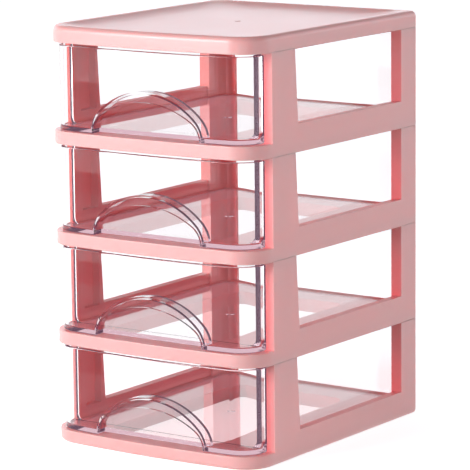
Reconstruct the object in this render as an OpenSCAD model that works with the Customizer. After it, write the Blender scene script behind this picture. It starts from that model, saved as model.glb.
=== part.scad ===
// Desktop mini drawers: four stacked tier frames, a clear drawer in each, and a
// shallow tray-shaped cover on top. The origin is the centre of the footprint on
// the surface it stands on. The drawers open towards -Y.

/* [Overall] */
// Width across the sides
width = 135; // [120:1:170]
// Depth from the foremost point of the bowed front to the back
depth = 164; // [140:1:200]
// Height from one tier's underside to the next tier's
tier_pitch = 54; // [46:1:80]
// Radius of the bowed front, seen from above
bow_r = 600; // [400:10:1500]
// Radius of the upright front corners
front_corner_r = 17; // [15:0.5:22]
// Radius of the upright rear corners
rear_corner_r = 4; // [3:0.5:8]

/* [Tier frame] */
// Height of the base band
base_h = 7.2; // [6.5:0.1:10]
// Thickness of the shelf in the base band
shelf_t = 2.2; // [1.6:0.1:3]
// Wall of the base band around the hollow under the shelf
skirt_w = 2.2; // [1.6:0.1:3]
// Rounding of the lowest tier's bottom edge
foot_edge_r = 2.5; // [0.5:0.1:3.5]
// Height of the side rails over the base band
rail_h = 7.7; // [4:0.1:12]
// Thickness of the side rails
rail_w = 4.9; // [3:0.1:6]
// Thickness of the posts, inwards from the side
post_w = 6.5; // [6.5:0.1:8]
// Front face of the front posts, behind the foremost point
post_front_y = 20.7; // [20.5:0.1:24]
// Front-to-back size of the front posts at the top
front_post_l = 21.4; // [20:0.1:30]
// How much longer the front posts are at the rails
front_post_taper = 2.4; // [0:0.1:5]
// Front-to-back size of the rear posts
rear_post_l = 18.1; // [13:0.1:22]
// Thickness of the legs that turn in behind the drawer
back_leg_t = 3; // [2:0.1:4]
// Fillet inside the rear posts, and reach of their legs past them
back_fillet_r = 7; // [4:0.5:9]
// Wall outside the channel in the front posts
channel_wall = 2.2; // [1.6:0.1:3]
// Solid front part of the front posts, before the channel
channel_front_l = 6.8; // [6.5:0.1:8]
// Solid rear part of the front posts at the top, behind the channel
channel_back_l = 1.6; // [1.2:0.1:3]

/* [Shelf hole] */
// Half the width of the hole in the shelf
hole_half_w = 35.5; // [20:0.5:45]
// Front bar of the shelf, from the foremost point to the hole
hole_front_y = 13; // [11:0.5:25]
// Back bar of the shelf, from the hole to the back
hole_back_l = 27; // [10:0.5:40]
// Radius of the hole's corners
hole_corner_r = 8; // [3:0.5:12]

/* [Stacking] */
// Size of the square spigots on the posts
spigot_w = 3.4; // [2.5:0.1:3.6]
// Height of the spigots
spigot_h = 3.6; // [2:0.1:4.5]
// Gap around and over a spigot in its socket
spigot_gap = 0.15; // [0.1:0.05:0.3]

/* [Drawer] */
// Wall thickness of the drawer
drawer_wall = 2; // [1.5:0.1:2.5]
// Floor thickness of the drawer
drawer_floor = 2.2; // [1.5:0.1:3]
// Gap under the drawer
run_gap = 0.3; // [0.3:0.05:0.6]
// Gap between the drawer's rim and the piece above
rim_gap = 1.3; // [0.8:0.1:3]
// Setback of the drawer's front from the front of the frame
front_setback = 1.5; // [0.5:0.1:3]
// Setback of the drawer front's sides from the sides of the frame
side_setback = 4.2; // [3.5:0.1:5.5]
// Radius of the drawer front's upright corners
drawer_front_r = 14; // [12:0.5:16]
// Gap between the drawer's shoulders and the posts
shoulder_gap = 1.2; // [0.5:0.1:2]
// Gap between the drawer's body and the posts
body_gap = 0.9; // [0.5:0.1:2]
// Gap between the drawer's back and the rear legs
back_gap = 3; // [1:0.5:8]
// Radius of the drawer's upright rear corners
drawer_rear_r = 7; // [6:0.5:18]
// Rounding outside the drawer's bottom edges
drawer_edge_r = 5; // [3:0.5:7]
// Rounding inside the drawer's bottom edges
drawer_fillet_r = 3.5; // [1:0.5:5]
// Radius and height of the gate mark on the drawer's floor
gate_r = 1.6; // [0.8:0.1:2.5]
// Height of the gate marks
gate_h = 0.3; // [0.2:0.1:0.5]
// Gate mark on the floor, behind the foremost point
gate_y = 77; // [40:1:110]

/* [Finger recess] */
// Half the span of the recess at the drawer's bottom
recess_half_w = 34.8; // [28:0.1:42]
// Depth of the recess from the drawer's front to its back wall
recess_l = 8; // [7:0.5:16]
// Height of the recess behind the front wall
recess_h = 22.8; // [19:0.1:28]
// Height of the opening in the front wall, which leaves a lip to pull
opening_h = 18.7; // [14:0.1:22]
// Radius at the feet of the recess
recess_foot_r = 14.4; // [13:0.1:18]
// Radius at the feet of the opening
opening_foot_r = 12; // [9:0.5:14]
// Wall of the hood that closes the recess off from the drawer's inside
hood_wall = 1.2; // [1:0.1:2.5]
// Lip of the front wall beside each foot of the opening
opening_lip = 0.3; // [0.2:0.1:2]

/* [Top cover] */
// Height of the cover's band
cover_h = 9; // [8:0.1:14]
// Rounding of the cover's top edge
cover_edge_r = 3; // [1:0.1:3.5]
// Flat and rounded rim around the tray
rim_w = 5; // [4:0.1:8]
// Width of the tray's curved border
tray_border = 6.5; // [3:0.1:7.5]
// Depth of the tray
tray_depth = 2.5; // [1.5:0.1:3.5]
// Radius of the tray's rear corners
tray_corner_r = 9; // [8:0.5:14]
// Floor thickness of the tray
tray_floor = 2.2; // [1.5:0.1:3]

/* [Hidden] */
TIERS = 4;

PINK = "#f0b9b9";
CLEAR = [0.86, 0.83, 0.88, 0.45];

$fn = 96;
BOW_FN = 720;   // the bow is a short stretch of a very large circle
SLICE_FN = 64;  // corners of the slices that a rounded edge is drawn over
SLICE = 0.01;   // thickness of such a slice
TRAY_STEPS = 6;  // slices over the tray's curved border
EDGE_STEP = 15; // degrees of rounding from one slice to the next
OVER = 1;       // how far a cut runs past the face it opens
ARC_LEAD = 0.02;

half_w = width / 2;
post_in_x = half_w - post_w;
rear_post_y = depth - rear_post_l;
hole_back_y = depth - hole_back_l;

// Each spigot stands on the solid stretch at the front of its post
spigot_x = half_w - post_w / 2;
front_spigot_y = post_front_y + channel_front_l / 2;
rear_spigot_y = rear_post_y + rear_post_l / 2;

drawer_z = base_h + run_gap;
drawer_h = tier_pitch - rim_gap - drawer_z;
drawer_front_half = half_w - side_setback;
drawer_body_half = post_in_x - body_gap;
shoulder_y = post_front_y - shoulder_gap;
drawer_back_y = depth - back_leg_t - back_gap;
recess_back_y = front_setback + recess_l;

tray_arc_r = (pow(tray_border, 2) + pow(tray_depth, 2)) / (2 * tray_depth);
tray_z = cover_h - tray_depth;

// Plan outlines: a front that is one arc of a large circle, corner arcs that
// touch it and the straight sides, and rear corners of their own radius.
// An outline is [half width, front y, bow radius, front corner radius,
// back y, rear corner radius].

function case_outline(inset, rear_r) = [
    half_w - inset, inset, bow_r - inset, front_corner_r - inset, depth - inset, rear_r
];

function corner_x(o) = o[0] - o[3];
function corner_y(o) = o[1] + o[2] - sqrt(pow(o[2] - o[3], 2) - pow(corner_x(o), 2));
function bow_angle(o) = asin(corner_x(o) / (o[2] - o[3]));

// The corner arcs stand past the bow by a hair, so that the two cross at a clean point
module outline(o) {
    meet_x = o[2] * sin(bow_angle(o));
    arc_y = corner_y(o) - ARC_LEAD;
    side_l = o[4] - o[5] - arc_y;
    rounded_back = o[5] > 0;
    intersection() {
        translate([0, o[1] + o[2]]) circle(r = o[2], $fn = BOW_FN);
        translate([-o[0] - OVER, o[1] - OVER])
            square([2 * (o[0] + OVER), o[4] - o[1] + (rounded_back ? 2 : 1) * OVER]);
        union() {
            translate([-meet_x, o[1] - OVER]) square([2 * meet_x, arc_y - o[1] + 2 * OVER]);
            if (side_l > 0) translate([-o[0], arc_y]) square([2 * o[0], side_l]);
            if (rounded_back)
                translate([-o[0] + o[5], arc_y]) square([2 * (o[0] - o[5]), o[4] - arc_y]);
            for (side = [-1, 1]) {
                translate([side * corner_x(o), arc_y]) circle(r = o[3]);
                if (rounded_back)
                    translate([side * (o[0] - o[5]), o[4] - o[5]]) circle(r = o[5]);
            }
        }
    }
}

// Slab inside the case's outline, with square edges
module case_slab(height) {
    linear_extrude(height = height) outline(case_outline(0, rear_corner_r));
}

// Layer as high as its rounding: its lower edge curves in all round the outline
module rounded_layer(edge_r) {
    hull() for (turn = [0 : EDGE_STEP : 90])
        translate([0, 0, (edge_r - SLICE) * (1 - cos(turn))])
            slice(edge_r * (1 - sin(turn)), rear_corner_r, SLICE);
}

module slice(inset, rear_r, height) {
    linear_extrude(height = height)
        outline(case_outline(inset, rear_r - inset), $fn = SLICE_FN);
}

module on_each_side() {
    for (side = [0, 1]) mirror([side, 0, 0]) children();
}

// Moves a piece from y measured back from the foremost point to the part's frame,
// and up to its tier
module at_tier(tier) {
    translate([0, -depth / 2, tier * tier_pitch]) children();
}

module spigot_places() {
    on_each_side() for (y = [front_spigot_y, rear_spigot_y]) translate([spigot_x, y, 0]) children();
}

module square_peg(w, height) {
    translate([-w / 2, -w / 2, 0]) cube([w, w, height]);
}

// Where the posts of the tier below meet a base, which stays solid over them
module post_pads() {
    pad_x = post_in_x - skirt_w;
    on_each_side() {
        translate([pad_x, post_front_y - skirt_w])
            square([post_w + skirt_w, front_post_l + 2 * skirt_w]);
        translate([pad_x, rear_post_y - skirt_w])
            square([post_w + skirt_w, rear_post_l + skirt_w]);
    }
}

// Hollow and sockets on the underside of a band
module underside(height, wall) {
    translate([0, 0, -OVER]) linear_extrude(height = height + OVER) difference() {
        outline(case_outline(wall, 0));
        post_pads();
        children();
    }
    spigot_places() translate([0, 0, -OVER])
        square_peg(spigot_w + 2 * spigot_gap, spigot_h + spigot_gap + OVER);
}

// Tier frame

function hole_outline(grow) = [
    hole_half_w + grow, hole_front_y - grow, bow_r + grow, hole_corner_r + grow,
    hole_back_y + grow, hole_corner_r + grow
];

// Extrudes a side view, drawn in y and z, from the side's face inwards
module side_plate(thickness) {
    translate([half_w - thickness, 0, 0]) rotate([90, 0, 90])
        linear_extrude(height = thickness) children();
}

module front_post() {
    post_back_y = post_front_y + front_post_l;
    side_plate(post_w) polygon([
        [post_front_y, shelf_t], [post_front_y, tier_pitch],
        [post_back_y, tier_pitch], [post_back_y + front_post_taper, base_h + rail_h],
        [post_back_y + front_post_taper, shelf_t],
    ]);
}

module front_post_channel() {
    channel_z = base_h + rail_h;
    translate([post_in_x - OVER, post_front_y + channel_front_l, channel_z])
        cube([
            post_w - channel_wall + OVER,
            front_post_l - channel_front_l - channel_back_l,
            tier_pitch - channel_z + OVER
        ]);
}

module rear_post() {
    side_plate(post_w) translate([rear_post_y, base_h]) square([rear_post_l, tier_pitch - base_h]);
    side_plate(post_w + back_fillet_r) translate([depth - back_leg_t, base_h])
        square([back_leg_t, tier_pitch - base_h]);
    fillet_y = depth - back_leg_t - back_fillet_r;
    translate([post_in_x - back_fillet_r, fillet_y, base_h])
        linear_extrude(height = tier_pitch - base_h) difference() {
            square(back_fillet_r);
            circle(r = back_fillet_r);
        }
}

module side_rail() {
    side_plate(rail_w) translate([post_front_y, base_h])
        square([depth - post_front_y, rail_h]);
}

module tier_frame(tier) {
    edge_r = tier == 0 ? foot_edge_r : 0;
    color(PINK) at_tier(tier) {
        difference() {
            union() {
                translate([0, 0, edge_r]) case_slab(base_h - edge_r);
                if (edge_r > 0) rounded_layer(edge_r);
                intersection() {
                    linear_extrude(height = tier_pitch) outline(case_outline(0, rear_corner_r));
                    on_each_side() {
                        front_post();
                        rear_post();
                        side_rail();
                    }
                }
            }
            on_each_side() front_post_channel();
            underside(base_h - shelf_t, skirt_w + edge_r) outline(hole_outline(skirt_w));
            translate([0, 0, -OVER]) linear_extrude(height = base_h + 2 * OVER)
                outline(hole_outline(0));
        }
        spigot_places() translate([0, 0, tier_pitch - OVER]) square_peg(spigot_w, spigot_h + OVER);
    }
}

// Top cover

module tray() {
    turn_end = asin(tray_border / tray_arc_r);
    translate([0, 0, tray_z]) hull() for (step = [0 : TRAY_STEPS]) {
        turn = turn_end * step / TRAY_STEPS;
        translate([0, 0, tray_arc_r * (1 - cos(turn))])
            slice(rim_w + tray_border - tray_arc_r * sin(turn), rim_w + tray_corner_r,
                step < TRAY_STEPS ? SLICE : OVER);
    }
}

module top_cover() {
    color(PINK) at_tier(TIERS) {
        difference() {
            union() {
                case_slab(cover_h - cover_edge_r);
                translate([0, 0, cover_h]) mirror([0, 0, 1]) rounded_layer(cover_edge_r);
            }
            tray();
            underside(tray_z - tray_floor, skirt_w + cover_edge_r);
        }
        translate([0, gate_y, tray_z]) cylinder(r = gate_r, h = gate_h);
    }
}

// Drawer

// Block that is open at its front end, with rounded upright rear corners and
// rounded bottom edges
module tub(half, front_y, back_y, corner, edge, height) {
    length = back_y - corner - front_y;
    translate([-(half - corner), front_y, 0])
        cube([2 * (half - corner), back_y - corner - front_y, height]);
    translate([-(half - corner), back_y, 0])
        rotate([90, 0, 90])
        linear_extrude(height = 2 * (half - corner)) tub_profile(corner, edge, height);
    on_each_side() {
        translate([half, front_y + length, 0])
            rotate([90, 0, 0])
            linear_extrude(height = length) tub_profile(corner, edge, height);
        translate([half - corner, back_y - corner, 0])
            rotate_extrude(angle = 90) intersection() {
                translate([corner, 0]) tub_profile(corner, edge, height);
                translate([0, -OVER]) square([corner + OVER, height + 2 * OVER]);
            }
    }
}

module tub_profile(w, edge, height) {
    difference() {
        translate([-w, 0]) square([w, height]);
        difference() {
            translate([-edge, -OVER]) square([edge + OVER, edge + OVER]);
            translate([-edge, edge]) circle(r = edge);
        }
    }
}

function drawer_front_outline(inset) = [
    drawer_front_half - inset, front_setback + inset, bow_r - inset,
    drawer_front_r - inset, shoulder_y - inset, 0
];

module drawer_outside() {
    linear_extrude(height = drawer_h) outline(drawer_front_outline(0));
    tub(drawer_body_half, shoulder_y - drawer_wall, drawer_back_y, drawer_rear_r,
        drawer_edge_r, drawer_h);
}

module drawer_inside() {
    room_h = drawer_h - drawer_floor + OVER;
    translate([0, 0, drawer_floor]) {
        linear_extrude(height = room_h) outline(drawer_front_outline(drawer_wall));
        tub(drawer_body_half - drawer_wall, shoulder_y - 2 * drawer_wall,
            drawer_back_y - drawer_wall, drawer_rear_r - drawer_wall, drawer_fillet_r, room_h);
    }
}

// Arch of three arcs on a level base: one over the crown and one at each foot,
// run down past the base. The foot arcs stand past the crown's by a hair.
module arch(half, rise, foot_r) {
    crown_r = (pow(half - foot_r, 2) + pow(rise, 2) - pow(foot_r, 2)) / (2 * (rise - foot_r));
    meet_x = (half - foot_r) * crown_r / (crown_r - foot_r);
    intersection() {
        translate([0, rise - crown_r]) circle(r = crown_r, $fn = 4 * $fn);
        translate([-half - OVER, -OVER]) square([2 * (half + OVER), rise + 2 * OVER]);
        union() {
            translate([-meet_x, -2 * OVER]) square([2 * meet_x, rise + 4 * OVER]);
            translate([-half, -2 * OVER]) square([2 * half, 2 * OVER + ARC_LEAD]);
            for (side = [-1, 1])
                translate([side * (half - foot_r), ARC_LEAD]) circle(r = foot_r);
        }
    }
}

// Extrudes a front view backwards, from ahead of the front to a given y
module front_cut(back_y) {
    translate([0, back_y, 0]) rotate([90, 0, 0])
        linear_extrude(height = back_y + OVER) children();
}

module recess_hood() {
    intersection() {
        front_cut(recess_back_y + hood_wall)
            arch(recess_half_w + hood_wall, recess_h + hood_wall, recess_foot_r + hood_wall);
        linear_extrude(height = drawer_h) outline(drawer_front_outline(0));
    }
}

module recess() {
    front_cut(recess_back_y - opening_lip)
        arch(recess_half_w - opening_lip, opening_h, opening_foot_r);
    intersection() {
        front_cut(recess_back_y) arch(recess_half_w, recess_h, recess_foot_r);
        translate([0, 0, -OVER]) linear_extrude(height = drawer_h)
            outline(drawer_front_outline(drawer_wall));
    }
}

module drawer(tier) {
    color(CLEAR) at_tier(tier) translate([0, 0, drawer_z]) {
        difference() {
            union() {
                difference() {
                    drawer_outside();
                    drawer_inside();
                }
                recess_hood();
            }
            recess();
        }
        translate([0, gate_y, drawer_floor]) cylinder(r = gate_r, h = gate_h);
    }
}

top_cover();
tier_frame(0);  // tier_frame_1
tier_frame(1);  // tier_frame_2
tier_frame(2);  // tier_frame_3
tier_frame(3);  // tier_frame_4
drawer(0);  // drawer_1
drawer(1);  // drawer_2
drawer(2);  // drawer_3
drawer(3);  // drawer_4
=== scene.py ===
"""Desktop mini drawers: four clear drawers in pink stacking frames under a tray-shaped cover.

Lengths are in metres. The frames, the drawers and the cover are surfaces worked out here,
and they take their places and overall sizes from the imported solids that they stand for.
"""

import math

import bmesh
import bpy
import numpy as np
from mathutils import Euler, Matrix, Vector


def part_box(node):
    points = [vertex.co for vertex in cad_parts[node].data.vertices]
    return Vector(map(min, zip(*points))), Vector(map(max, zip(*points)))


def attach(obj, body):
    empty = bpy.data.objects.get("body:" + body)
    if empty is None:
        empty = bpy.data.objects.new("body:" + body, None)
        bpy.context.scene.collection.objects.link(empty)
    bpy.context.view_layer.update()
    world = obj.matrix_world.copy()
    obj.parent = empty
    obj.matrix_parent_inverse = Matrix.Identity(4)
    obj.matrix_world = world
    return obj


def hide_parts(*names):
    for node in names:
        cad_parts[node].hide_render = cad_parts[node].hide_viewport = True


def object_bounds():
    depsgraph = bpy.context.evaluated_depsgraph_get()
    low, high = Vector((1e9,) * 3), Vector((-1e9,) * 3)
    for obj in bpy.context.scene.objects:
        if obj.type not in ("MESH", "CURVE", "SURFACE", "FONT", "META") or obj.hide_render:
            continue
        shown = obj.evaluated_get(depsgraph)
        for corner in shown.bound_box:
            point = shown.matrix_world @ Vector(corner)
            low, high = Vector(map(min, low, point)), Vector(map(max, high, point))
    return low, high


bl_info = {
    "name": "Desktop mini drawers",
    "version": (1, 0, 0),
    "blender": (4, 5, 0),
    "location": "3D View > Sidebar > Mini Drawers",
    "description": "Builds the frames, clear drawers and cover of a small tower of drawers",
    "category": "Object",
}

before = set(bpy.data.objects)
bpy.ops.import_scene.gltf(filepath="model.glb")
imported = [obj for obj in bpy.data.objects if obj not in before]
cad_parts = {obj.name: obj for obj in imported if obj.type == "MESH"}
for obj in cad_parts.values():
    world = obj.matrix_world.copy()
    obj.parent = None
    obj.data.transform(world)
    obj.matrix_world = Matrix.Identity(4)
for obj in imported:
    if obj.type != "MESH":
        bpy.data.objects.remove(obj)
CAD_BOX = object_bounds()

MM = 0.001
TIERS = 4
CASE = "case"
FRAME_NODES = [f"tier_frame_{tier + 1}" for tier in range(TIERS)]
DRAWER_NODES = [f"drawer_{tier + 1}" for tier in range(TIERS)]

LOW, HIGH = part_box("tier_frame_1")
HALF_W = HIGH.x
FRONT_Y = LOW.y
BACK_Y = HIGH.y
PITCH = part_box("tier_frame_2")[0].z - LOW.z
DRAWER_LOW, DRAWER_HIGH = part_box("drawer_1")
COVER_LOW, COVER_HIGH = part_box("top_cover")

# How far a cutting shape runs past the face that it opens
OVER = 1 * MM
# Steps along the arcs of the outlines
BOW_STEPS = 24
FRONT_STEPS = 18
REAR_STEPS = 12
# Steps round the edges of the frames and the cover, and of a drawer's bottom and rim
EDGE_STEPS = 6
BOTTOM_STEPS = 8
RIM_STEPS = 4
# Steps round the fillet inside a rear post and along the recess's arch
FILLET_STEPS = 8
ARCH_STEPS = 48
# Rings down the tray's border
BORDER_RINGS = 13


def length(name, text, default):
    """A length property in metres, given its default in millimetres."""
    return bpy.props.FloatProperty(
        name=name, description=text, default=default * MM, min=0.0, subtype="DISTANCE",
        unit="LENGTH", precision=5,
    )


def colour(name, text, default):
    """A linear colour property."""
    return bpy.props.FloatVectorProperty(
        name=name, description=text, default=default, size=3, min=0.0, max=1.0, subtype="COLOR"
    )


def share(name, text, default):
    """A property from 0 to 1."""
    return bpy.props.FloatProperty(name=name, description=text, default=default, min=0, max=1)


class CaseSizes(bpy.types.PropertyGroup):
    """Sizes of the tier frames and of the plan outline that they share with the cover"""

    bow_r: length("Bow radius", "Radius of the bowed front, seen from above", 600)
    front_corner_r: length("Front corners", "Radius of the upright front corners", 17)
    rear_corner_r: length("Rear corners", "Radius of the upright rear corners", 4)
    base_h: length("Base height", "Height of a frame's base band", 7.2)
    skirt_w: length("Skirt", "Wall of the base band and thickness of the shelf", 2.2)
    foot_edge_r: length("Foot edge", "Rounding of the lowest frame's bottom edge", 2.5)
    seam_edge_r: length("Seam edge", "Rounding of the edges at each seam", 0.45)
    rail_h: length("Rail height", "Height of the side rails over the base band", 7.7)
    rail_w: length("Rail width", "Thickness of the side rails", 4.9)
    post_w: length("Post width", "Thickness of the posts, inwards from the side", 6.5)
    post_setback: length("Post setback", "Front of the front posts behind the foremost point", 20.7)
    front_post_l: length("Front post", "Front-to-back size of the front posts at the top", 21.4)
    front_post_taper: length("Post taper", "How much longer the front posts are at the rails", 2.4)
    rear_post_l: length("Rear post", "Front-to-back size of the rear posts", 18.1)
    back_leg_t: length("Back leg", "Thickness of the legs behind the drawer", 3)
    back_fillet_r: length("Back fillet", "Fillet inside the rear posts", 7)
    channel_wall: length("Channel wall", "Wall outside the channel in the front posts", 2.2)
    channel_front_l: length("Channel front", "Solid front part of the front posts", 6.8)
    channel_back_l: length("Channel back", "Solid rear part of the front posts", 1.6)
    hole_half_w: length("Hole", "Half the width of the hole in the shelf", 35.5)
    hole_setback: length("Front bar", "From the foremost point to the hole", 13)
    hole_back_l: length("Back bar", "From the hole to the back", 27)
    hole_corner_r: length("Hole corners", "Radius of the hole's corners", 8)


class DrawerSizes(bpy.types.PropertyGroup):
    """Sizes of the clear drawers"""

    wall: length("Wall", "Wall thickness", 2)
    floor_t: length("Floor", "Floor thickness", 2.2)
    front_corner_r: length("Front corners", "Radius of the upright front corners", 14)
    rear_corner_r: length("Rear corners", "Radius of the upright rear corners", 7)
    body_half: length("Body", "Half the width of the part behind the front", 60.1)
    shoulder: length("Shoulder", "Back of the wide front part, behind the foremost point", 19.5)
    edge_r: length("Bottom edge", "Rounding outside the bottom edges", 5)
    fillet_r: length("Bottom fillet", "Rounding inside the bottom edges", 3.5)
    front_edge_r: length("Front edge", "Rounding of the front part's bottom edge", 0.5)
    front_fillet_r: length("Front fillet", "Rounding inside the front part's bottom edge", 0.8)
    rim_r: length("Rim", "Rounding of the rim", 0.6)
    recess_half: length("Recess", "Half the span of the finger recess", 34.8)
    recess_l: length("Recess depth", "From the front to the recess's back wall", 8)
    recess_h: length("Recess height", "Height of the recess behind the front wall", 22.8)
    opening_h: length("Opening height", "Height of the opening in the front wall", 18.7)
    recess_foot_r: length("Recess feet", "Radius at the feet of the recess", 14.4)
    opening_foot_r: length("Opening feet", "Radius at the feet of the opening", 12)
    hood_wall: length("Hood wall", "Wall that closes the recess off from the drawer's inside", 1.2)
    opening_lip: length("Opening lip", "Lip of the front wall beside the opening's feet", 0.3)
    edge_bevel: length("Edge", "Rounding of the recess's edges", 0.35)
    gate_r: length("Gate mark", "Radius of the gate mark on the floor", 1.6)
    gate_setback: length("Gate place", "From the foremost point to the gate mark", 77)


class CoverSizes(bpy.types.PropertyGroup):
    """Sizes of the tray-shaped cover"""

    edge_r: length("Top edge", "Rounding of the outer top edge", 3)
    rim_w: length("Rim", "From the outline to the tray", 5)
    tray_border: length("Tray border", "Width of the tray's curved border", 12)
    tray_depth: length("Tray depth", "Depth of the tray", 2.5)
    tray_corner_r: length("Tray corners", "Radius of the rim's inner rear corners", 9)
    floor_corner_r: length("Floor corners", "Radius of the tray floor's corners", 26)
    floor_t: length("Floor", "Thickness of the tray's floor", 2.2)
    gate_r: length("Gate mark", "Radius of the gate mark on the tray", 1.6)
    gate_setback: length("Gate place", "From the foremost point to the gate mark", 88)


class Finishes(bpy.types.PropertyGroup):
    """Colours of the two plastics"""

    pink: colour("Pink", "Pale salmon pink of the frames and the cover", (0.88, 0.455, 0.445))
    clear: colour("Clear", "Tint of the clear drawers", (0.993, 0.988, 0.996))
    pink_roughness: share("Pink roughness", "Roughness of the pink plastic", 0.32)
    clear_roughness: share("Clear roughness", "Roughness of the clear plastic", 0.0)


# Outlines, seen from above, counterclockwise


def arc(centre_x, centre_y, radius, start, end, steps):
    """Points at equal angles along an arc, from start to end in degrees."""
    angle = np.radians(np.linspace(start, end, steps + 1))
    return np.stack([centre_x + radius * np.cos(angle), centre_y + radius * np.sin(angle)], 1)


def front_arcs(half, front_y, bow, corner):
    """The bowed front, one arc of a large circle, and the corner arc that touches both it and the
    straight right side. The corner's centre lies where the two circles touch from within."""
    centre_x = half - corner
    turn = math.degrees(math.asin(centre_x / (bow - corner)))
    centre_y = front_y + bow - (bow - corner) * math.cos(math.radians(turn))
    front = arc(0, front_y + bow, bow, -90 - turn, -90 + turn, BOW_STEPS)
    right = arc(centre_x, centre_y, corner, turn - 90, 0, FRONT_STEPS)
    return front, right


def mirrored(points):
    """The points on the other side of the centre line, in the order that closes the outline."""
    return points[::-1] * (-1, 1)


def closed_outline(half, front_y, bow, corner, back_y, rear):
    """A bowed front, corner arcs, straight sides, and rear corners of their own radius."""
    front, right = front_arcs(half, front_y, bow, corner)
    if rear > 0:
        back = arc(half - rear, back_y - rear, rear, 0, 90, REAR_STEPS)
    else:
        back = np.array([[half, back_y]])
    side = np.concatenate([right[1:], back])
    return np.concatenate([front, side, mirrored(side)])


def case_outline(sizes, inset, rear_r=None):
    """The case's outline, moved inwards by inset. Its arcs keep their centres and only shrink."""
    if rear_r is None:
        rear_r = max(sizes.rear_corner_r - inset, 0)
    return closed_outline(
        HALF_W - inset, FRONT_Y + inset, sizes.bow_r - inset, sizes.front_corner_r - inset,
        BACK_Y - inset, rear_r,
    )


# Meshes

# Corners this close are one corner, and a face of less than this many square metres has no area
SLIT_WIDTH = 0.002 * MM
NO_AREA = 1e-14
# Edges that turn by more than this many degrees are sharp enough to round
SHARP_TURN = 40


def new_object(name, points, faces):
    """A mesh object of these corners and faces, at the origin."""
    mesh = bpy.data.meshes.new(name)
    mesh.from_pydata(points.reshape(-1, 3).tolist(), [], faces)
    mesh.update()
    piece = bpy.data.objects.new(name, mesh)
    bpy.context.scene.collection.objects.link(piece)
    return piece


def loft(name, rings):
    """A closed surface over a grid of points: each ring is a closed line round the piece, and the
    first and last rings are filled. Ring i and point j give the quad (i, j), (i, j+1),
    (i+1, j+1), (i+1, j)."""
    rings = np.asarray(rings)
    count, around = rings.shape[:2]
    i, j = np.meshgrid(np.arange(count - 1), np.arange(around), indexing="ij")
    here, onward = i * around + j, i * around + (j + 1) % around
    quads = np.stack([here, onward, onward + around, here + around], -1)
    faces = quads.reshape(-1, 4).tolist()
    faces.append(list(range(around))[::-1])
    faces.append(list(range((count - 1) * around, count * around)))
    return new_object(name, rings, faces)


def at_height(points, z):
    """Plan points lifted to one height, or each to its own."""
    return np.column_stack([points, np.broadcast_to(z, len(points))])


def prism(name, points, low, high):
    """A plan outline carried straight up from one height to another."""
    return loft(name, [at_height(points, low), at_height(points, high)])


def cuboid(name, low, high):
    """A block between two corners."""
    plan = np.array([[low[0], low[1]], [high[0], low[1]], [high[0], high[1]], [low[0], high[1]]])
    return prism(name, plan, low[2], high[2])


def side_plate(name, side, inner, outer, points):
    """A side view in y and z carried across, from the inner to the outer distance from the middle.
    side is 1 on the right and -1 on the left."""
    ends = [np.column_stack([np.full(len(points), side * x), points]) for x in (inner, outer)]
    return loft(name, ends if side > 0 else ends[::-1])


def quarter_turn(steps):
    """Pairs of sine and cosine over a quarter turn, for the steps of a rounded edge."""
    turn = np.linspace(0, math.pi / 2, steps + 1)
    return list(zip(np.sin(turn), np.cos(turn)))


def combine(target, tools, operation):
    """Joins target with closed solids, or cuts it with them, and takes the solids away."""
    for tool in tools:
        step = target.modifiers.new(operation, "BOOLEAN")
        step.operation = operation
        step.solver = "EXACT"
        step.object = tool
    graph = bpy.context.evaluated_depsgraph_get()
    mesh = bpy.data.meshes.new_from_object(target.evaluated_get(graph))
    if not mesh.polygons:
        raise RuntimeError(f"{target.name}: {operation} left nothing")
    target.modifiers.clear()
    old, target.data = target.data, mesh
    mesh.name = old.name
    bpy.data.meshes.remove(old)
    for tool in tools:
        bpy.data.meshes.remove(tool.data)
    return target


def close_slits(piece):
    """Closes the slits of no width that a cut can leave across a flat area. Corners that all but
    meet are merged, and each slit is filled with a face of no area, split into triangles."""
    mesh = bmesh.new()
    mesh.from_mesh(piece.data)
    bmesh.ops.remove_doubles(mesh, verts=mesh.verts, dist=SLIT_WIDTH)
    slits = [edge for edge in mesh.edges if edge.is_boundary]
    bmesh.ops.holes_fill(mesh, edges=slits, sides=0)
    fills = [face for face in mesh.faces if face.calc_area() < NO_AREA]
    bmesh.ops.triangulate(mesh, faces=fills)
    mesh.to_mesh(piece.data)
    mesh.free()


def smooth(piece, degrees=35):
    """Shades smoothly over edges that turn less than this, and keeps the others sharp."""
    mesh = piece.data
    mesh.polygons.foreach_set("use_smooth", np.ones(len(mesh.polygons), bool))
    mesh.set_sharp_from_angle(angle=math.radians(degrees))


def ease_edges(piece, width):
    """Rounds every sharp edge a little, as a moulded edge is."""
    bevel = piece.modifiers.new("eased edges", "BEVEL")
    bevel.width = width
    bevel.segments = 2
    bevel.limit_method = "ANGLE"
    bevel.angle_limit = math.radians(SHARP_TURN)
    bevel.use_clamp_overlap = True


def level_shading(piece):
    """Lets each flat face keep its own shading where it runs into a rounded edge."""
    weighted = piece.modifiers.new("level shading", "WEIGHTED_NORMAL")
    weighted.mode = "FACE_AREA"
    weighted.keep_sharp = True


def copy_at_tier(piece, name, tier):
    """The same piece, moved up in its mesh by whole tiers."""
    twin = piece.copy()
    twin.data = piece.data.copy()
    twin.name = twin.data.name = name
    points = np.empty(len(twin.data.vertices) * 3, np.float32)
    twin.data.vertices.foreach_get("co", points)
    points[2::3] += tier * PITCH
    twin.data.vertices.foreach_set("co", points)
    twin.data.update()
    bpy.context.scene.collection.objects.link(twin)
    return twin


def finish_piece(piece, material, body, node):
    """Gives a piece its shading and material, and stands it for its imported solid."""
    level_shading(piece)
    piece.data.materials.clear()
    piece.data.materials.append(material)
    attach(piece, body)
    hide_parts(node)


# Nodes of the materials and the room. Each value is a plain one or another node's output.

WHITE = (1, 1, 1, 1)


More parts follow.
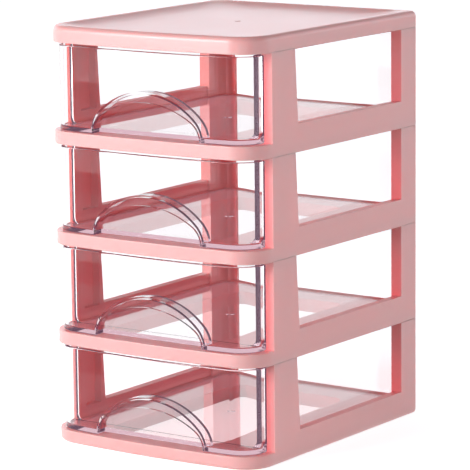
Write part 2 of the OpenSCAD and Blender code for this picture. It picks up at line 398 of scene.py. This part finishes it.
def add_node(tree, kind, inputs=(), **settings):
    """A shader node with these settings, its inputs given by name or number."""
    node = tree.nodes.new("ShaderNode" + kind)
    for name, value in settings.items():
        setattr(node, name, value)
    for name, value in dict(inputs).items():
        if isinstance(value, bpy.types.NodeSocket):
            tree.links.new(value, node.inputs[name])
        else:
            node.inputs[name].default_value = value
    return node


def calculate(tree, operation, *values):
    """The result of a Math node."""
    return add_node(tree, "Math", enumerate(values), operation=operation).outputs["Value"]


def remap(tree, value, start, end, low=0, high=1, interpolation="LINEAR"):
    """A value carried from the span of start to end to that of low to high, and held there."""
    inputs = {"Value": value, "From Min": start, "From Max": end, "To Min": low, "To Max": high}
    return add_node(tree, "MapRange", inputs, interpolation_type=interpolation).outputs["Result"]


def mix_colours(tree, amount, first, second, blend="MIX"):
    """The first colour where amount is 0, and the second, or its product with it, where it is 1."""
    inputs = {"Factor": amount, "A": first, "B": second}
    return add_node(tree, "Mix", inputs, data_type="RGBA", blend_type=blend).outputs["Result"]


def mix_shaders(tree, amount, first, second):
    """The first shader where amount is 0, and the second where it is 1."""
    return add_node(tree, "MixShader", {"Fac": amount, 1: first, 2: second}).outputs["Shader"]


def emission(tree, tint, strength=1):
    """A surface that gives off this colour."""
    inputs = {"Color": tint, "Strength": strength}
    return add_node(tree, "Emission", inputs).outputs["Emission"]


def noise(tree, place, scale, detail):
    """A cloudy pattern in the piece's own space."""
    inputs = {"Vector": place, "Scale": scale, "Detail": detail}
    return add_node(tree, "TexNoise", inputs).outputs["Fac"]


def bump(tree, height, strength, distance):
    """The normal of a surface that rises and falls with height."""
    inputs = {"Height": height, "Strength": strength, "Distance": distance}
    return add_node(tree, "Bump", inputs).outputs["Normal"]


def object_place(tree):
    """Places in the piece's own space, and their heights."""
    place = add_node(tree, "TexCoord").outputs["Object"]
    return place, add_node(tree, "SeparateXYZ", {"Vector": place}).outputs["Z"]


def light_path(tree, name):
    """What kind of ray meets the surface, or how many times it has been turned."""
    return add_node(tree, "LightPath").outputs[name]


def seen_through(tree):
    """1 where the camera sees a surface, straight or through the clear plastic, and 0 for the
    light that the surface gives to other things."""
    rays = [light_path(tree, f"Is {kind} Ray") for kind in ("Camera", "Transmission")]
    return calculate(tree, "MAXIMUM", *rays)


def behind_plastic(tree):
    """1 for what is met by way of the clear plastic, and 0 otherwise."""
    return calculate(tree, "GREATER_THAN", light_path(tree, "Transmission Depth"), 0.5)


def new_material(name):
    """An empty node material, with its node tree."""
    material = bpy.data.materials.new(name)
    material.use_nodes = True
    material.node_tree.nodes.clear()
    return material, material.node_tree


# Materials

# How much darker and lighter than its colour the pink is in places, and how its roughness differs
PINK_SPREAD = (0.975, 1.015)
PINK_ROUGHNESS_SPREAD = 0.04
# Painted shade: what the pink is multiplied by where it is seen through the clear plastic, a deeper
# red in place of the shade inside the case and of the colour that its walls give each other by
# bounced
# light: not at all at the first height, and fully at the second
PAINTED_SHADE_PINK = (0.96, 0.4, 0.35, 1)
PAINTED_SHADE_SPAN = (10 * MM, 170 * MM)
# How much rougher than its own roughness the clear plastic is in places
CLEAR_HAZE = 0.006
# The colour that one surface of the clear plastic gives to the light inside the case
PASSING_TINT = (0.97, 0.72, 0.745, 1)
# Light that has been mirrored more often than this inside the clear plastic is painted as one of
# two glowing colours: a pale pink painted glow in a drawer's floor, and a near-black painted shade
# for the dark edges in its walls, blended between these heights over the underside
TRAPPED_TURNS = 1.5
TRAPPED_FLOOR_PAINTED_GLOW = (0.72, 0.48, 0.55, 1)
TRAPPED_WALL_PAINTED_SHADE = (0.13, 0.055, 0.095, 1)
TRAPPED_SPAN = (0.9 * MM, 1.7 * MM)


def pink_plastic():
    """Satin moulded plastic: one pink with a faint cloudiness, and the slight ripple and fine grain
    that its mould leaves. Where it is seen through the clear plastic it has painted shade: its
    colour is multiplied towards a deep red, more so higher up."""
    found = bpy.data.materials.get("moulded_pink")
    if found:
        return found
    finishes = bpy.context.scene.drawer_finishes
    material, tree = new_material("moulded_pink")
    place, height = object_place(tree)
    cloud = noise(tree, place, scale=28, detail=2)
    grain = noise(tree, place, scale=900, detail=3)
    tint = add_node(tree, "ValToRGB", {"Fac": cloud})
    for element, factor in zip(tint.color_ramp.elements, PINK_SPREAD):
        element.color = (*np.minimum(np.array(finishes.pink) * factor, 1), 1)
    # Painted shade: seen through the clear plastic, the pink is multiplied towards a deep red, more
    # so higher up
    painted_shade = calculate(tree, "MULTIPLY", behind_plastic(tree), remap(tree, height, *PAINTED_SHADE_SPAN))
    rough = [finishes.pink_roughness + way * PINK_ROUGHNESS_SPREAD for way in (-1, 1)]
    shader = add_node(tree, "BsdfPrincipled", {
        "Base Color": mix_colours(tree, painted_shade, tint.outputs["Color"], PAINTED_SHADE_PINK, "MULTIPLY"),
        "Roughness": remap(tree, cloud, 0, 1, *rough),
        "IOR": 1.5,
        "Specular IOR Level": 0.75,
        "Subsurface Weight": 0.6,
        "Subsurface Radius": (1.0, 0.28, 0.24),
        "Subsurface Scale": 5 * MM,
        "Normal": bump(tree, grain, strength=0.12, distance=0.2 * MM),
    })
    add_node(tree, "OutputMaterial", {"Surface": shader.outputs["BSDF"]})
    return material


def clear_plastic():
    """Clear moulded plastic with a faint lavender tint and the soft ripple of a moulded wall. Light
    that only passes through on its way to something else isn't held back, so what is inside stays
    bright. Where a ray has been mirrored inside the plastic too often, the plastic shows a painted
    glow instead: pale pink in a drawer's floor, and a near-black painted shade in its walls."""
    found = bpy.data.materials.get("moulded_clear")
    if found:
        return found
    finishes = bpy.context.scene.drawer_finishes
    material, tree = new_material("moulded_clear")
    place, height = object_place(tree)
    ripple = noise(tree, place, scale=22, detail=1)
    rough = finishes.clear_roughness
    shader = add_node(tree, "BsdfPrincipled", {
        "Base Color": (*finishes.clear, 1),
        "Roughness": remap(tree, ripple, 0, 1, rough, rough + CLEAR_HAZE),
        "IOR": 1.49,
        "Specular Tint": (0.3, 0.3, 0.32, 1),
        "Transmission Weight": 1,
        "Normal": bump(tree, ripple, strength=0.03, distance=0.4 * MM),
    })
    from_below = calculate(tree, "SUBTRACT", height, DRAWER_LOW.z - OVER)
    in_tier = calculate(tree, "FLOORED_MODULO", from_below, PITCH)
    in_wall = remap(tree, in_tier, *(OVER + rise for rise in TRAPPED_SPAN))
    # Painted glow and painted shade for light mirrored too often in the plastic: pale pink in the
    # floor, near black in the walls
    painted_glow_and_shade = emission(tree, mix_colours(tree, in_wall, TRAPPED_FLOOR_PAINTED_GLOW, TRAPPED_WALL_PAINTED_SHADE))
    trapped = calculate(tree, "GREATER_THAN", light_path(tree, "Glossy Depth"), TRAPPED_TURNS)
    plastic = mix_shaders(tree, trapped, shader.outputs["BSDF"], painted_glow_and_shade)
    rays = [light_path(tree, f"Is {kind} Ray") for kind in ("Shadow", "Diffuse")]
    passing = add_node(tree, "BsdfTransparent", {"Color": PASSING_TINT}).outputs["BSDF"]
    surface = mix_shaders(tree, calculate(tree, "MAXIMUM", *rays), plastic, passing)
    add_node(tree, "OutputMaterial", {"Surface": surface})
    return material


# Tier frames


def base_rings(sizes, low_edge):
    """Rings up the base band: in at the underside, round the lower edge, up, and round the upper
    edge."""
    top_edge = sizes.seam_edge_r
    turns = quarter_turn(EDGE_STEPS)
    steps = [(low_edge * (1 - s), low_edge * (1 - c)) for s, c in turns]
    steps += [(top_edge * (1 - c), sizes.base_h - top_edge * (1 - s)) for s, c in turns]
    return [at_height(case_outline(sizes, inset), z) for inset, z in steps]


def posts_and_rails(sizes):
    """The side walls as closed solids: posts, rails, and the legs and fillets behind the drawer."""
    inner = HALF_W - sizes.post_w
    foot, top = sizes.skirt_w, PITCH
    rail_top = sizes.base_h + sizes.rail_h
    front = FRONT_Y + sizes.post_setback
    back = front + sizes.front_post_l
    foot_back = back + sizes.front_post_taper
    rear = BACK_Y - sizes.rear_post_l
    leg = BACK_Y - sizes.back_leg_t
    fillet, rear_r = sizes.back_fillet_r, sizes.rear_corner_r
    start, end = front + OVER, rear + OVER
    post = np.array(
        [[front, foot], [foot_back, foot], [foot_back, rail_top], [back, top], [front, top]]
    )
    rail = np.array([[start, foot], [end, foot], [end, rail_top], [start, rail_top]])
    rear_post = np.concatenate([
        arc(inner - fillet, leg - fillet, fillet, 90, 0, FILLET_STEPS),
        [[inner, rear], [HALF_W, rear]],
        arc(HALF_W - rear_r, BACK_Y - rear_r, rear_r, 0, 90, REAR_STEPS),
        [[inner - fillet, BACK_Y]],
    ])
    solids = []
    for side in (1, -1):
        solids.append(side_plate("post", side, inner, HALF_W, post))
        solids.append(side_plate("rail", side, HALF_W - sizes.rail_w, HALF_W, rail))
        plan = rear_post if side > 0 else mirrored(rear_post)
        solids.append(prism("rear_post", plan, foot, top))
    return solids


def channels(sizes):
    """What is cut from the front posts, from the rails up."""
    inner = HALF_W - sizes.post_w
    low = FRONT_Y + sizes.post_setback + sizes.channel_front_l
    high = FRONT_Y + sizes.post_setback + sizes.front_post_l - sizes.channel_back_l
    bottom = sizes.base_h + sizes.rail_h
    solids = []
    for side in (1, -1):
        x = sorted((side * (inner - OVER), side * (HALF_W - sizes.channel_wall)))
        solids.append(cuboid("channel", (x[0], low, bottom), (x[1], high, PITCH + OVER)))
    return solids


def hole_outline(sizes, grow):
    """Outline of the hole in the shelf, grown by grow."""
    return closed_outline(
        sizes.hole_half_w + grow, FRONT_Y + sizes.hole_setback - grow, sizes.bow_r + grow,
        sizes.hole_corner_r + grow, BACK_Y - sizes.hole_back_l + grow, sizes.hole_corner_r + grow,
    )


def underside_hollow(sizes, wall, height):
    """The hollow under a shelf or cover, from below the band up, with pads left over the posts."""
    hollow = prism("hollow", case_outline(sizes, wall, 0), -OVER, height)
    pad = sizes.skirt_w
    inner = HALF_W - sizes.post_w - pad
    front = FRONT_Y + sizes.post_setback
    spans = (
        (front - pad, front + sizes.front_post_l + pad),
        (BACK_Y - sizes.rear_post_l - pad, BACK_Y),
    )
    pads = []
    for side in (1, -1):
        for low, high in spans:
            x = sorted((side * inner, side * HALF_W))
            pads.append(cuboid("pad", (x[0], low, -2 * OVER), (x[1], high, height + OVER)))
    return combine(hollow, pads, "DIFFERENCE")


def build_frame(sizes, name, low_edge):
    """One tier frame, at the lowest tier's place."""
    piece = loft(name, base_rings(sizes, low_edge))
    combine(piece, posts_and_rails(sizes), "UNION")
    hollow = underside_hollow(sizes, sizes.skirt_w + low_edge, sizes.base_h - sizes.skirt_w)
    ring = prism("ring", hole_outline(sizes, sizes.skirt_w), -2 * OVER, sizes.base_h)
    combine(hollow, [ring], "DIFFERENCE")
    hole = prism("hole", hole_outline(sizes, 0), -OVER, sizes.base_h + OVER)
    combine(piece, [hollow, hole, *channels(sizes)], "DIFFERENCE")
    smooth(piece)
    ease_edges(piece, sizes.seam_edge_r)
    return piece


class BuildFrames(bpy.types.Operator):
    """Builds the four tier frames: a base band with a ring-shaped shelf, posts and rails"""

    bl_idname = "mini_drawers.frames"
    bl_label = "Tier frames"

    def execute(self, context):
        sizes = context.scene.case_sizes
        pieces = [build_frame(sizes, "base_frame", sizes.foot_edge_r)]
        upper = build_frame(sizes, "upper_frame", sizes.seam_edge_r)
        for tier in range(1, TIERS):
            pieces.append(copy_at_tier(upper, f"frame_at_tier_{tier + 1}", tier))
        bpy.data.meshes.remove(upper.data)
        for piece, node in zip(pieces, FRAME_NODES):
            finish_piece(piece, pink_plastic(), CASE, node)
        return {"FINISHED"}


# Gate marks, on the cover's tray and the drawers' floors

GATE_POINTS = 36
GATE_SIDE_H = 0.15 * MM
GATE_TOP_H = 0.28 * MM
GATE_TOP_SHARE = 0.8


def gate_mark(radius, setback, floor):
    """A low round mark on a floor, with an eased edge: circles at its foot, its shoulder and its
    smaller top."""
    circle = arc(0, 0, 1, 0, 360 - 360 / GATE_POINTS, GATE_POINTS - 1)
    place = (0, FRONT_Y + setback)
    steps = [
        (radius, floor - OVER),
        (radius, floor + GATE_SIDE_H),
        (GATE_TOP_SHARE * radius, floor + GATE_TOP_H),
    ]
    return loft("gate", [at_height(place + r * circle, z) for r, z in steps])


# Cover


def cover_rings(sizes, cover):
    """Rings over the cover: in at the underside, round the lower edge, up, round the top edge, over
    the flat rim, and down the tray's border, which is an arc that ends level with the floor."""
    low, high = COVER_LOW.z, COVER_HIGH.z
    seam, edge, border = sizes.seam_edge_r, cover.edge_r, cover.tray_border
    turns = quarter_turn(EDGE_STEPS)
    steps = [(seam * (1 - s), low + seam * (1 - c)) for s, c in turns]
    steps += [(edge * (1 - c), high - edge * (1 - s)) for s, c in turns]
    rings = [at_height(case_outline(sizes, inset), z) for inset, z in steps]
    border_r = (border**2 + cover.tray_depth**2) / (2 * cover.tray_depth)
    corners = np.array([sizes.front_corner_r - cover.rim_w, cover.tray_corner_r])
    for turn in np.linspace(math.asin(border / border_r), 0, BORDER_RINGS):
        inwards = border - border_r * math.sin(turn)
        inset = cover.rim_w + inwards
        z = high - cover.tray_depth + border_r * (1 - math.cos(turn))
        front_r, rear_r = corners + inwards / border * (cover.floor_corner_r - corners)
        outline = closed_outline(
            HALF_W - inset, FRONT_Y + inset, sizes.bow_r - inset, front_r, BACK_Y - inset, rear_r
        )
        rings.append(at_height(outline, z))
    return rings


class BuildCover(bpy.types.Operator):
    """Builds the cover with its rounded rim and its shallow tray"""

    bl_idname = "mini_drawers.cover"
    bl_label = "Cover"

    def execute(self, context):
        sizes, cover = context.scene.case_sizes, context.scene.cover_sizes
        piece = loft("tray_cover", cover_rings(sizes, cover))
        gate = gate_mark(cover.gate_r, cover.gate_setback, COVER_HIGH.z - cover.tray_depth)
        depth = COVER_HIGH.z - COVER_LOW.z - cover.tray_depth - cover.floor_t
        hollow = underside_hollow(sizes, sizes.skirt_w + cover.edge_r, depth)
        hollow.data.transform(Matrix.Translation((0, 0, COVER_LOW.z)))
        combine(piece, [gate], "UNION")
        combine(piece, [hollow], "DIFFERENCE")
        smooth(piece, SHARP_TURN)
        finish_piece(piece, pink_plastic(), CASE, "top_cover")
        return {"FINISHED"}


# Drawers

# The least height of the solid under an arch, at its feet
LEAST_ARCH_H = 0.4 * MM


def drawer_outline(sizes, front_inset, body_inset):
    """Outline of a drawer: a wide bowed front part, shoulders that step in, and a body with round
    rear corners. The front part and the body have insets of their own. Says for each point
    whether it is on the body."""
    half = DRAWER_HIGH.x - front_inset
    bow = bpy.context.scene.case_sizes.bow_r - front_inset
    front, right = front_arcs(
        half, DRAWER_LOW.y + front_inset, bow, sizes.front_corner_r - front_inset
    )
    shoulder_y = FRONT_Y + sizes.shoulder - front_inset
    step = np.array([[half, shoulder_y], [sizes.body_half - body_inset, shoulder_y]])
    rear = sizes.rear_corner_r
    back = arc(
        sizes.body_half - rear, DRAWER_HIGH.y - rear, rear - body_inset, 0, 90, 2 * REAR_STEPS
    )
    # The corner's points but its first, and the outer point of the step, are on the front part
    side = np.concatenate([right[1:], step, back])
    on_body = np.arange(len(side)) >= len(right)
    points = np.concatenate([front, side, mirrored(side)])
    return points, np.concatenate([np.zeros(len(front), bool), on_body, on_body[::-1]])


def drawer_ring(sizes, front, body):
    """One ring of a drawer. front and body are (inset, height) for the two parts."""
    points, on_body = drawer_outline(sizes, front[0], body[0])
    return at_height(points, np.where(on_body, body[1], front[1]))


def drawer_rings(sizes):
    """Rings over a drawer's wall: round the bottom edge, up the outside, over the rim, down the
    inside, and round the fillet to the floor."""
    low, high = DRAWER_LOW.z, DRAWER_HIGH.z
    floor = low + sizes.floor_t
    wall, rim = sizes.wall, sizes.rim_r
    bottom_turns, rim_turns = quarter_turn(BOTTOM_STEPS), quarter_turn(RIM_STEPS)
    edges = (sizes.front_edge_r, sizes.edge_r)
    fillets = (sizes.front_fillet_r, sizes.fillet_r)
    steps = [[(r * (1 - s), low + r * (1 - c)) for r in edges] for s, c in bottom_turns]
    steps += [[(rim * (1 - c), high - rim * (1 - s))] * 2 for s, c in rim_turns]
    steps += [[(wall - rim * (1 - s), high - rim * (1 - c))] * 2 for s, c in rim_turns]
    steps += [[(wall + r * (1 - c), floor + r * (1 - s)) for r in fillets] for s, c in bottom_turns]
    return [drawer_ring(sizes, front, body) for front, body in steps]


def arch_height(x, half, rise, foot_r):
    """Height of an arch of three arcs at each x: a wide arc over the crown, and a small one at each
    foot that meets it without a kink and stands upright at the base."""
    crown_r = ((half - foot_r) ** 2 + rise**2 - foot_r**2) / (2 * (rise - foot_r))
    meet_x = (half - foot_r) * crown_r / (crown_r - foot_r)
    crown = rise - crown_r + np.sqrt(np.maximum(crown_r**2 - x**2, 0))
    foot = np.sqrt(np.maximum(foot_r**2 - (np.abs(x) - (half - foot_r)) ** 2, 0))
    return np.where(np.abs(x) <= meet_x, crown, foot)


def arch_block(name, half, rise, foot_r, front_y, back_y, low):
    """A solid under an arch, between a front surface front_y(x) and a level back. It is a ring of
    four corners carried across in x, closer together towards the feet."""
    x = half * np.sin(np.linspace(-math.pi / 2, math.pi / 2, ARCH_STEPS + 1))
    top = np.maximum(DRAWER_LOW.z + arch_height(x, half, rise, foot_r), low + LEAST_ARCH_H)
    front, back, base = front_y(x), np.full_like(x, back_y), np.full_like(x, low)
    corners = [(x, front, base), (x, back, base), (x, back, top), (x, front, top)]
    return loft(name, np.stack([np.stack(corner, -1) for corner in corners], 1))


def bow_y(x, inset):
    """How far back the drawer's bowed front lies at each x, moved inwards by inset."""
    bow = bpy.context.scene.case_sizes.bow_r - inset
    return DRAWER_LOW.y + inset + bow - np.sqrt(bow**2 - x**2)


def recess_solids(sizes):
    """The hood over the finger recess, and the recess with its opening, which is cut from it."""
    half, rise, foot_r = sizes.recess_half, sizes.recess_h, sizes.recess_foot_r
    wall, hood_wall = sizes.wall, sizes.hood_wall
    back = DRAWER_LOW.y + sizes.recess_l
    below = DRAWER_LOW.z - OVER
    hood = arch_block(
        "hood", half + hood_wall, rise + hood_wall, foot_r + hood_wall,
        lambda x: bow_y(x, wall / 2), back + hood_wall, DRAWER_LOW.z + sizes.floor_t / 2,
    )
    cavity = arch_block("cavity", half, rise, foot_r, lambda x: bow_y(x, wall), back, below)
    opening = arch_block(
        "opening", half - sizes.opening_lip, sizes.opening_h, sizes.opening_foot_r,
        lambda x: np.full_like(x, DRAWER_LOW.y - OVER), back - OVER, below,
    )
    return hood, combine(cavity, [opening], "UNION")


class BuildDrawers(bpy.types.Operator):
    """Builds the four clear drawers, each with an arched finger recess under its front"""

    bl_idname = "mini_drawers.drawers"
    bl_label = "Clear drawers"

    def execute(self, context):
        sizes = context.scene.drawer_sizes
        first = loft("clear_drawer_1", drawer_rings(sizes))
        hood, recess = recess_solids(sizes)
        gate = gate_mark(sizes.gate_r, sizes.gate_setback, DRAWER_LOW.z + sizes.floor_t)
        combine(first, [hood, gate], "UNION")
        combine(first, [recess], "DIFFERENCE")
        close_slits(first)
        smooth(first)
        pieces = [first]
        for tier in range(1, TIERS):
            pieces.append(copy_at_tier(first, f"clear_drawer_{tier + 1}", tier))
        for piece, node in zip(pieces, DRAWER_NODES):
            ease_edges(piece, sizes.edge_bevel)
            finish_piece(piece, clear_plastic(), node, node)
        return {"FINISHED"}


# Stage

# The camera: where it stands, its turns in radians about the vertical, down and about its own axis,
# its focal length on a sensor as wide as the picture, and how far it sees
CAMERA_PLACE = (0.90412, -1.29826, 0.38846)
CAMERA_YAW = 0.6078
CAMERA_PITCH = 0.1763
CAMERA_ROLL = -0.0103
SENSOR_MM = 36
FOCAL_MM = 226.77
FAR_END = 50
# The one lamp
SOFTBOX_PLACE = (-0.75, -1.5, 0.6)
SOFTBOX_SIZE = 0.9
SOFTBOX_POWER = 26.5
# The floor: half its width, its colour, the glow that makes it plain white where it is seen, and
# its brightness as a mirror image, outside the clear plastic and by way of it
FLOOR_REACH = 6
PAPER = (0.86, 0.86, 0.87, 1)
PAPER_GLOW = 0.75
FLOOR_SHEEN = 1.4
FLOOR_DIM = 0.15
# Tint and strengths of the room's light
ROOM_TINT = (1.0, 0.985, 1.03, 1)
CEILING = 0.12
FRONT_WALL = 0.5
BACK_WALL = 1.9
# The Y of a direction where the front wall's light ends and the back wall's is full, and the Z
# where the walls' light starts to fall and where only the ceiling's is left
WALL_SPAN = (-0.45, 0.65)
CEILING_SPAN = (0.25, 0.6)
# How much less of the room's light the gloss of what is seen through the clear plastic has
DIM_SHARE = 0.85
# The backdrop as seen through the clear plastic: how far round and how high it reaches, as the Y
# and Z of a direction where it is dark and where it is white, and how bright the room is past it
BACKDROP_SPAN = (0.15, 0.6)
BACKDROP_TOP = (0.6, 0.2)
DARK_ROOM = 0.06


def add_camera():
    """A long lens at the photograph's viewing angle."""
    data = bpy.data.cameras.new("camera")
    data.sensor_width = SENSOR_MM
    data.lens = FOCAL_MM
    data.clip_end = FAR_END
    camera = bpy.data.objects.new("camera", data)
    turn = Euler((math.pi / 2 - CAMERA_PITCH, 0, CAMERA_YAW)).to_matrix().to_4x4()
    roll = Matrix.Rotation(CAMERA_ROLL, 4, "Z")
    camera.matrix_world = Matrix.Translation(CAMERA_PLACE) @ turn @ roll
    bpy.context.scene.collection.objects.link(camera)
    bpy.context.scene.camera = camera


def add_softbox():
    """A square soft lamp at the front left, which faces the middle of the object."""
    data = bpy.data.lights.new("front_softbox", "AREA")
    data.shape = "SQUARE"
    data.size = SOFTBOX_SIZE
    data.energy = SOFTBOX_POWER
    lamp = bpy.data.objects.new("front_softbox", data)
    lamp.location = SOFTBOX_PLACE
    middle = Vector((0, 0, (CAD_BOX[0][2] + CAD_BOX[1][2]) / 2))
    aim = middle - Vector(SOFTBOX_PLACE)
    lamp.rotation_euler = aim.to_track_quat("-Z", "Y").to_euler()
    bpy.context.scene.collection.objects.link(lamp)


def floor_material():
    """White paper that shows the object's shadow. Where it is seen, straight or through the clear
    plastic, it glows a little and is plain white. In mirror images it has one brightness, and
    otherwise it is plain paper, which gives the object its light."""
    material, tree = new_material("floor_paper")
    paper = add_node(tree, "BsdfDiffuse", {"Color": PAPER}).outputs["BSDF"]
    seen = add_node(tree, "AddShader", {0: paper, 1: emission(tree, WHITE, PAPER_GLOW)})
    level = remap(tree, behind_plastic(tree), 0, 1, FLOOR_SHEEN, FLOOR_DIM)
    sheen = emission(tree, WHITE, level)
    unseen = mix_shaders(tree, light_path(tree, "Is Glossy Ray"), paper, sheen)
    surface = mix_shaders(tree, seen_through(tree), unseen, seen.outputs["Shader"])
    add_node(tree, "OutputMaterial", {"Surface": surface})
    return material


def add_floor():
    """A wide level floor, on the surface that the object stands on."""
    signs = ((-1, -1), (1, -1), (1, 1), (-1, 1))
    corners = np.array([[FLOOR_REACH * x, FLOOR_REACH * y, 0] for x, y in signs], float)
    floor = new_object("floor", corners, [[0, 1, 2, 3]])
    floor.data.materials.append(floor_material())


def background(tree, tint, strength):
    """A surrounding that gives off this colour."""
    inputs = {"Color": tint, "Strength": strength}
    return add_node(tree, "Background", inputs).outputs["Background"]


def dimmed_in_plastic(tree, strength):
    """The room's light, less DIM_SHARE of it for mirror images in what is behind the plastic."""
    gloss = calculate(tree, "MULTIPLY", light_path(tree, "Is Glossy Ray"), behind_plastic(tree))
    return calculate(tree, "MULTIPLY", strength, remap(tree, gloss, 0, 1, 1, 1 - DIM_SHARE))


def backdrop(tree, direction):
    """The backdrop's brightness by direction. It is 1 for the camera. Through the clear plastic it
    is 1 towards the back of the room, and DARK_ROOM to the sides and overhead: only the plastic's
    edges and curves bend the view that far, and they show dark, as in a photograph."""
    back = remap(tree, direction["Y"], *BACKDROP_SPAN, interpolation="SMOOTHSTEP")
    low = remap(tree, direction["Z"], *BACKDROP_TOP, interpolation="SMOOTHSTEP")
    white = calculate(tree, "MULTIPLY", back, low)
    white = calculate(tree, "MAXIMUM", light_path(tree, "Is Camera Ray"), white)
    return remap(tree, white, 0, 1, DARK_ROOM, 1)


def add_world():
    """A room that is plain white where it is seen. As a source of light it has pale walls, which
    are brightest at the back, under a dark ceiling: strength = CEILING + low * walls. By depth,
    walls goes from FRONT_WALL to BACK_WALL. low falls from 1 at the horizon to 0 overhead."""
    world = bpy.data.worlds.new("room")
    bpy.context.scene.world = world
    world.use_nodes = True
    tree = world.node_tree
    tree.nodes.clear()
    place = add_node(tree, "TexCoord").outputs["Generated"]
    direction = add_node(tree, "SeparateXYZ", {"Vector": place}).outputs
    walls = remap(tree, direction["Y"], *WALL_SPAN, FRONT_WALL, BACK_WALL, "SMOOTHSTEP")
    low = remap(tree, direction["Z"], *CEILING_SPAN, 1, 0, "SMOOTHSTEP")
    strength = calculate(tree, "MULTIPLY_ADD", walls, low, CEILING)
    light = background(tree, ROOM_TINT, dimmed_in_plastic(tree, strength))
    view = background(tree, WHITE, backdrop(tree, direction))
    room = mix_shaders(tree, seen_through(tree), light, view)
    add_node(tree, "OutputWorld", {"Surface": room})


class BuildStage(bpy.types.Operator):
    """Sets up the camera, the floor, the room and the lamp"""

    bl_idname = "mini_drawers.stage"
    bl_label = "Stage"

    def execute(self, context):
        add_camera()
        add_floor()
        add_world()
        add_softbox()
        context.scene.view_settings.view_transform = "Standard"
        return {"FINISHED"}


class MiniDrawersPanel(bpy.types.Panel):
    """Lists the steps that build the drawers"""

    bl_idname = "VIEW3D_PT_mini_drawers"
    bl_label = "Mini Drawers"
    bl_space_type = "VIEW_3D"
    bl_region_type = "UI"
    bl_category = "Mini Drawers"

    def draw(self, context):
        column = self.layout.column(align=True)
        for step in OPERATORS:
            column.operator(step.bl_idname)
        for group in GROUPS:
            box = self.layout.box()
            for name in group.__annotations__:
                box.prop(getattr(context.scene, GROUPS[group]), name)


OPERATORS = (BuildFrames, BuildCover, BuildDrawers, BuildStage)
GROUPS = {
    CaseSizes: "case_sizes",
    DrawerSizes: "drawer_sizes",
    CoverSizes: "cover_sizes",
    Finishes: "drawer_finishes",
}


def register():
    for group, name in GROUPS.items():
        bpy.utils.register_class(group)
        setattr(bpy.types.Scene, name, bpy.props.PointerProperty(type=group))
    for step in OPERATORS:
        bpy.utils.register_class(step)
    bpy.utils.register_class(MiniDrawersPanel)


def unregister():
    bpy.utils.unregister_class(MiniDrawersPanel)
    for step in reversed(OPERATORS):
        bpy.utils.unregister_class(step)
    for group, name in GROUPS.items():
        delattr(bpy.types.Scene, name)
        bpy.utils.unregister_class(group)


def main():
    register()
    bpy.ops.mini_drawers.frames()
    bpy.ops.mini_drawers.cover()
    bpy.ops.mini_drawers.drawers()
    bpy.ops.mini_drawers.stage()


if __name__ == "__main__":
    main()
